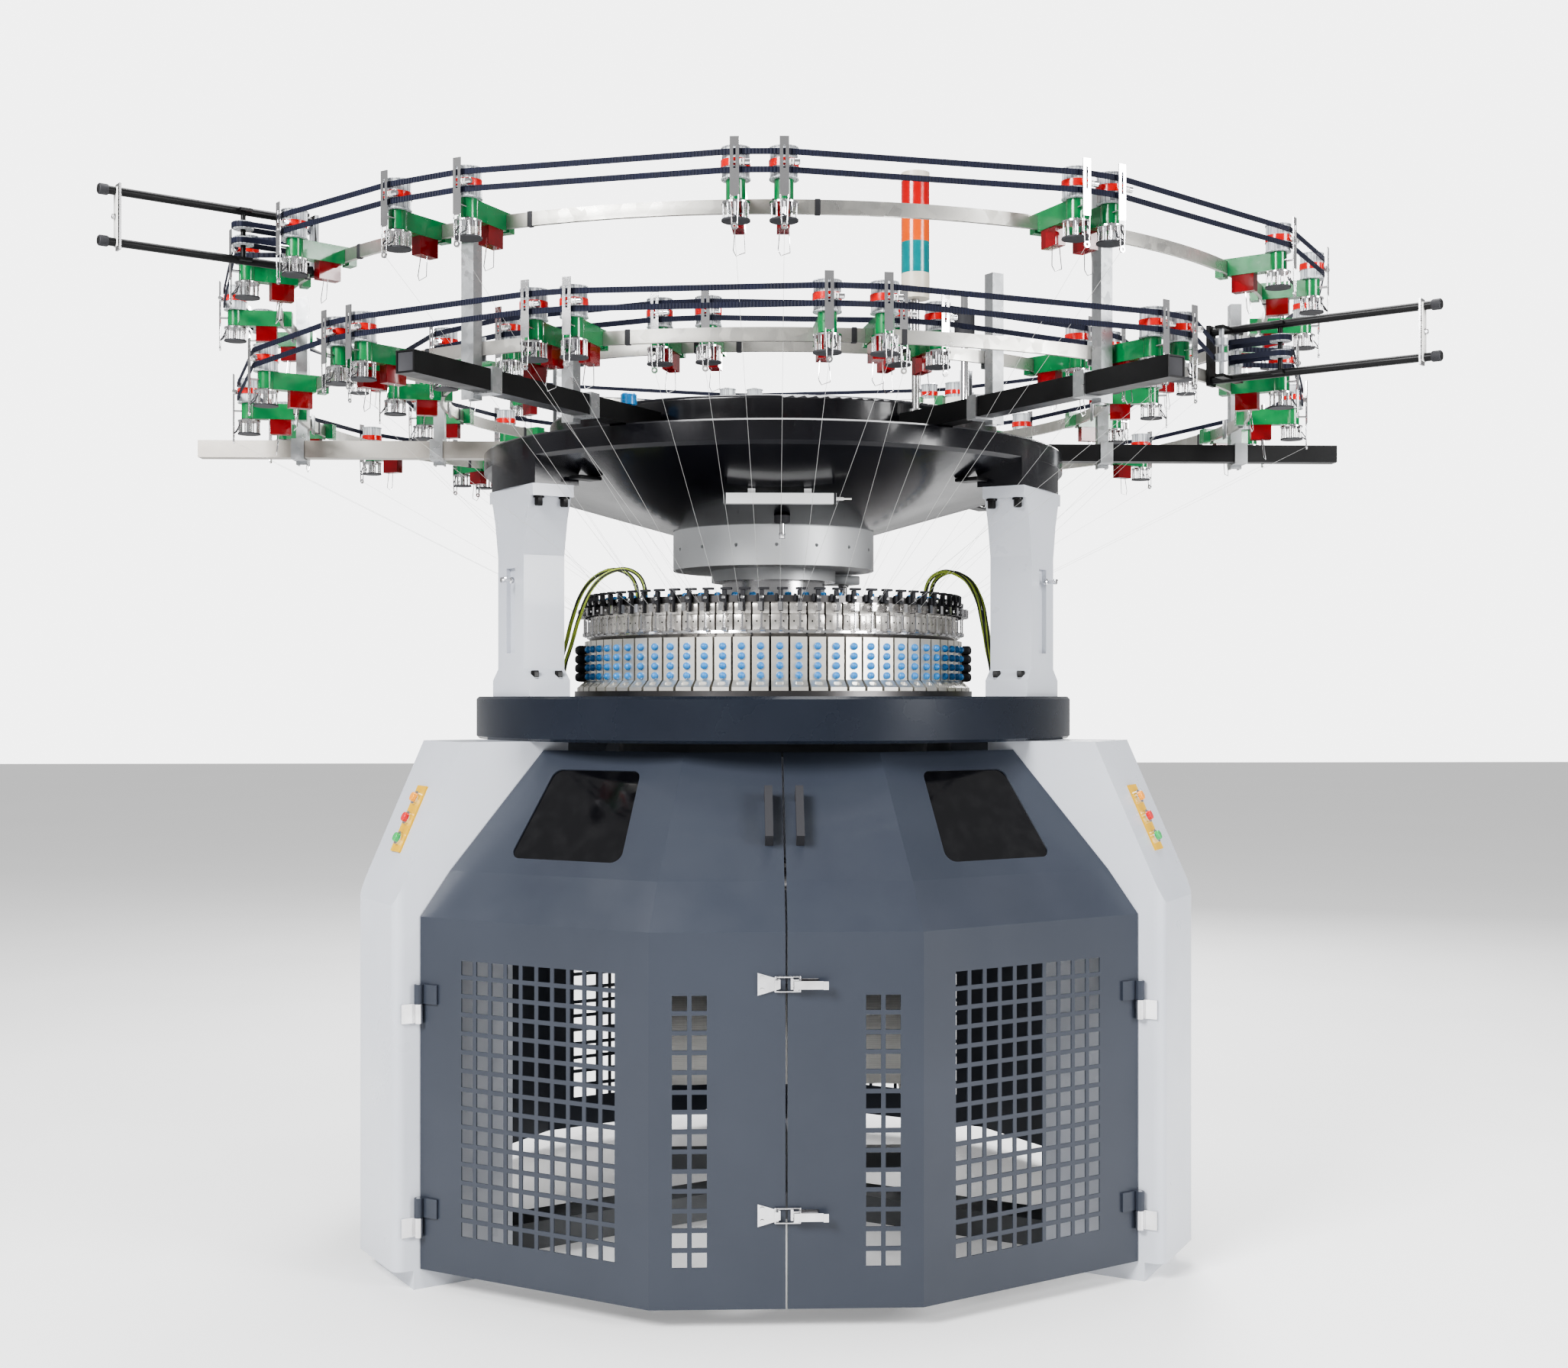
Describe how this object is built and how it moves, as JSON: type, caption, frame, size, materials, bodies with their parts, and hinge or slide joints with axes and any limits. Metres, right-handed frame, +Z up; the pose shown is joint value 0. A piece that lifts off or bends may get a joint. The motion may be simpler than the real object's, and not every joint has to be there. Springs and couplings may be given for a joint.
{
  "type": "industrial knitting machine",
  "caption": "Large-diameter circular knitting machine on three legs, with folding-sheet doors, a needle cylinder and dial, and three rings of yarn feeders.",
  "frame": {"origin": "on the machine's vertical axis at floor level, on the base frame's middle foot", "axes": "+Z up along the needle cylinder's axis, -Y the front with the doors, +X right"},
  "size_m": [2.7, 2.5528, 2.329],
  "materials": {
    "light_enamel": "satin light grey enamel",
    "bed_gloss": "glossy blue-black enamel",
    "dome_gloss": "glossy near-black enamel",
    "door_grey": "satin slate grey enamel",
    "cast": "machined cast iron",
    "hub_grey": "satin grey",
    "steel": "ground steel",
    "bright": "bright plated",
    "ivory_block": "bead-blasted aluminium",
    "blue_knob": "blue anodised dome",
    "black_plastic": "matt black",
    "black_paint": "satin black",
    "bare_steel": "bare rolled steel",
    "green_plastic": "green moulded housing",
    "rotor_grey": "turned metal and moulded pulleys",
    "belt": "dark toothed belt",
    "yarn_white": "white yarn",
    "fabric": "knitted cloth",
    "window_dark": "smoked pane",
    "yellow_plate": "yellow plate with bright bezels",
    "amber": "amber cap",
    "red": "red cap",
    "green": "green cap",
    "tower": "coloured lenses between beige ends on a steel pole",
    "lamp_white": "white diffuser"
  },
  "bodies": {
    "frame": {"base_frame": "cast", "legs": "light_enamel", "bed_plate": "bed_gloss", "columns": "light_enamel", "upper_dome": "dome_gloss", "top_cover": "dome_gloss", "hub_discs": "hub_grey", "dial_housing": "steel", "lamp_bar": "lamp_white", "drive_motor": "cast", "cylinder_cam_ring": "steel", "cylinder_cam_blocks": "ivory_block", "cylinder_cam_knobs": "blue_knob", "dial_cam_ring": "steel", "dial_cam_blocks": "ivory_block", "yarn_guides": "black_plastic", "support_arms": "black_paint", "ring_posts": "bright", "post_straps": "bright", "feeder_rings": "bare_steel", "feeder_housings": "green_plastic", "feeder_rotors": "rotor_grey", "feeder_brackets": "bright", "feeder_belts": "belt", "tensioner_frames": "black_paint", "yarns": "yarn_white", "hinge_pin_halves": "bright", "rear_guards": "door_grey", "button_plates": "yellow_plate", "signal_tower": "tower", "cable_harness": "black_plastic"},
    "cylinder": {"needle_cylinder": "steel", "cylinder_gear": "steel", "takedown_frame": "light_enamel"},
    "takedown_roller_front": {"takedown_roller_front": "steel"},
    "takedown_roller_rear": {"takedown_roller_rear": "steel"},
    "fabric_roll": {"fabric_roll": "fabric"},
    "dial": {"dial": "steel"},
    "drive_pinion": {"drive_pinion": "steel"},
    "left_door": {"left_door": "door_grey", "left_door_window": "window_dark", "left_door_handle": "black_plastic", "latch_catches": "bright"},
    "right_door": {"right_door": "door_grey", "right_door_window": "window_dark", "right_door_handle": "black_plastic", "latch_bails": "bright"},
    "upper_latch_lever": {"upper_latch_lever": "bright"},
    "lower_latch_lever": {"lower_latch_lever": "bright"},
    "upper_feeder_rotor": {"upper_feeder_rotor": "rotor_grey"},
    "middle_feeder_rotor": {"middle_feeder_rotor": "rotor_grey"},
    "inner_feeder_rotor": {"inner_feeder_rotor": "rotor_grey"},
    "upper_tension_pulleys": {"upper_tension_pulleys": "black_plastic"},
    "middle_tension_pulleys": {"middle_tension_pulleys": "black_plastic"},
    "left_amber_button": {"left_amber_button": "amber"},
    "left_red_button": {"left_red_button": "red"},
    "left_green_button": {"left_green_button": "green"},
    "right_amber_button": {"right_amber_button": "amber"},
    "right_red_button": {"right_red_button": "red"},
    "right_green_button": {"right_green_button": "green"}
  },
  "joints": [
    {"name": "cylinder_spin", "type": "hinge", "parent": "frame", "child": "cylinder", "pos_m": [0, 0, 1.15], "axis": [0, 0, 1], "continuous": true},
    {"name": "dial_spin", "type": "hinge", "parent": "frame", "child": "dial", "pos_m": [0, 0, 1.36], "axis": [0, 0, 1], "continuous": true},
    {"name": "pinion_spin", "type": "hinge", "parent": "frame", "child": "drive_pinion", "pos_m": [0.38971, 0.225, 1.15], "axis": [0, 0, 1], "continuous": true},
    {"name": "front_roller_spin", "type": "hinge", "parent": "cylinder", "child": "takedown_roller_front", "pos_m": [0, -0.04, 0.8], "axis": [1, 0, 0], "continuous": true},
    {"name": "rear_roller_spin", "type": "hinge", "parent": "cylinder", "child": "takedown_roller_rear", "pos_m": [0, 0.04, 0.8], "axis": [1, 0, 0], "continuous": true},
    {"name": "fabric_roll_spin", "type": "hinge", "parent": "cylinder", "child": "fabric_roll", "pos_m": [0, 0, 0.42], "axis": [1, 0, 0], "continuous": true},
    {"name": "left_door_swing", "type": "hinge", "parent": "frame", "child": "left_door", "pos_m": [-0.74693, -0.5733, 0.37], "axis": [0, 0, -1], "range_deg": [0, 105]},
    {"name": "right_door_swing", "type": "hinge", "parent": "frame", "child": "right_door", "pos_m": [0.74693, -0.5733, 0.37], "axis": [0, 0, 1], "range_deg": [0, 105], "deforming": ["latch_bails"]},
    {"name": "upper_latch_turn", "type": "hinge", "parent": "right_door", "child": "upper_latch_lever", "pos_m": [0.018, -0.852, 0.668], "axis": [0, 0, -1], "range_deg": [0, 150]},
    {"name": "lower_latch_turn", "type": "hinge", "parent": "right_door", "child": "lower_latch_lever", "pos_m": [0.018, -0.852, 0.223], "axis": [0, 0, -1], "range_deg": [0, 150]},
    {"name": "upper_rotor_spin", "type": "hinge", "parent": "frame", "child": "upper_feeder_rotor", "pos_m": [-0.01949, -1.24085, 2.086], "axis": [0, 0, 1], "continuous": true},
    {"name": "middle_rotor_spin", "type": "hinge", "parent": "frame", "child": "middle_feeder_rotor", "pos_m": [0.05676, -1.20366, 1.868], "axis": [0, 0, 1], "continuous": true},
    {"name": "inner_rotor_spin", "type": "hinge", "parent": "frame", "child": "inner_feeder_rotor", "pos_m": [0.21338, -0.8558, 1.91], "axis": [0, 0, 1], "continuous": true},
    {"name": "upper_tension_pulley_spin", "type": "hinge", "parent": "frame", "child": "upper_tension_pulleys", "pos_m": [-1.0644, -0.72881, 2.13], "axis": [0, 0, 1], "continuous": true},
    {"name": "middle_tension_pulley_spin", "type": "hinge", "parent": "frame", "child": "middle_tension_pulleys", "pos_m": [0.97729, -0.78576, 1.912], "axis": [0, 0, 1], "continuous": true},
    {"name": "left_amber_button_press", "type": "slide", "parent": "frame", "child": "left_amber_button", "axis": [0.79, 0.4561, -0.4097], "range_m": [0, 0.004], "stiffness_N_per_m": 800},
    {"name": "left_red_button_press", "type": "slide", "parent": "frame", "child": "left_red_button", "axis": [0.79, 0.4561, -0.4097], "range_m": [0, 0.004], "stiffness_N_per_m": 800},
    {"name": "left_green_button_press", "type": "slide", "parent": "frame", "child": "left_green_button", "axis": [0.79, 0.4561, -0.4097], "range_m": [0, 0.004], "stiffness_N_per_m": 800},
    {"name": "right_amber_button_press", "type": "slide", "parent": "frame", "child": "right_amber_button", "axis": [-0.79, 0.4561, -0.4097], "range_m": [0, 0.004], "stiffness_N_per_m": 800},
    {"name": "right_red_button_press", "type": "slide", "parent": "frame", "child": "right_red_button", "axis": [-0.79, 0.4561, -0.4097], "range_m": [0, 0.004], "stiffness_N_per_m": 800},
    {"name": "right_green_button_press", "type": "slide", "parent": "frame", "child": "right_green_button", "axis": [-0.79, 0.4561, -0.4097], "range_m": [0, 0.004], "stiffness_N_per_m": 800}
  ],
  "couplings": [
    {"joint": "dial_spin", "follows": "cylinder_spin", "ratio": 1},
    {"joint": "pinion_spin", "follows": "cylinder_spin", "ratio": -8},
    {"joint": "front_roller_spin", "follows": "cylinder_spin", "ratio": 2},
    {"joint": "rear_roller_spin", "follows": "cylinder_spin", "ratio": -2},
    {"joint": "fabric_roll_spin", "follows": "cylinder_spin", "ratio": 0.5833},
    {"joint": "upper_rotor_spin", "follows": "cylinder_spin", "ratio": 4},
    {"joint": "middle_rotor_spin", "follows": "cylinder_spin", "ratio": 4},
    {"joint": "inner_rotor_spin", "follows": "cylinder_spin", "ratio": 4},
    {"joint": "upper_tension_pulley_spin", "follows": "cylinder_spin", "ratio": 4.8},
    {"joint": "middle_tension_pulley_spin", "follows": "cylinder_spin", "ratio": 4.8}
  ]
}
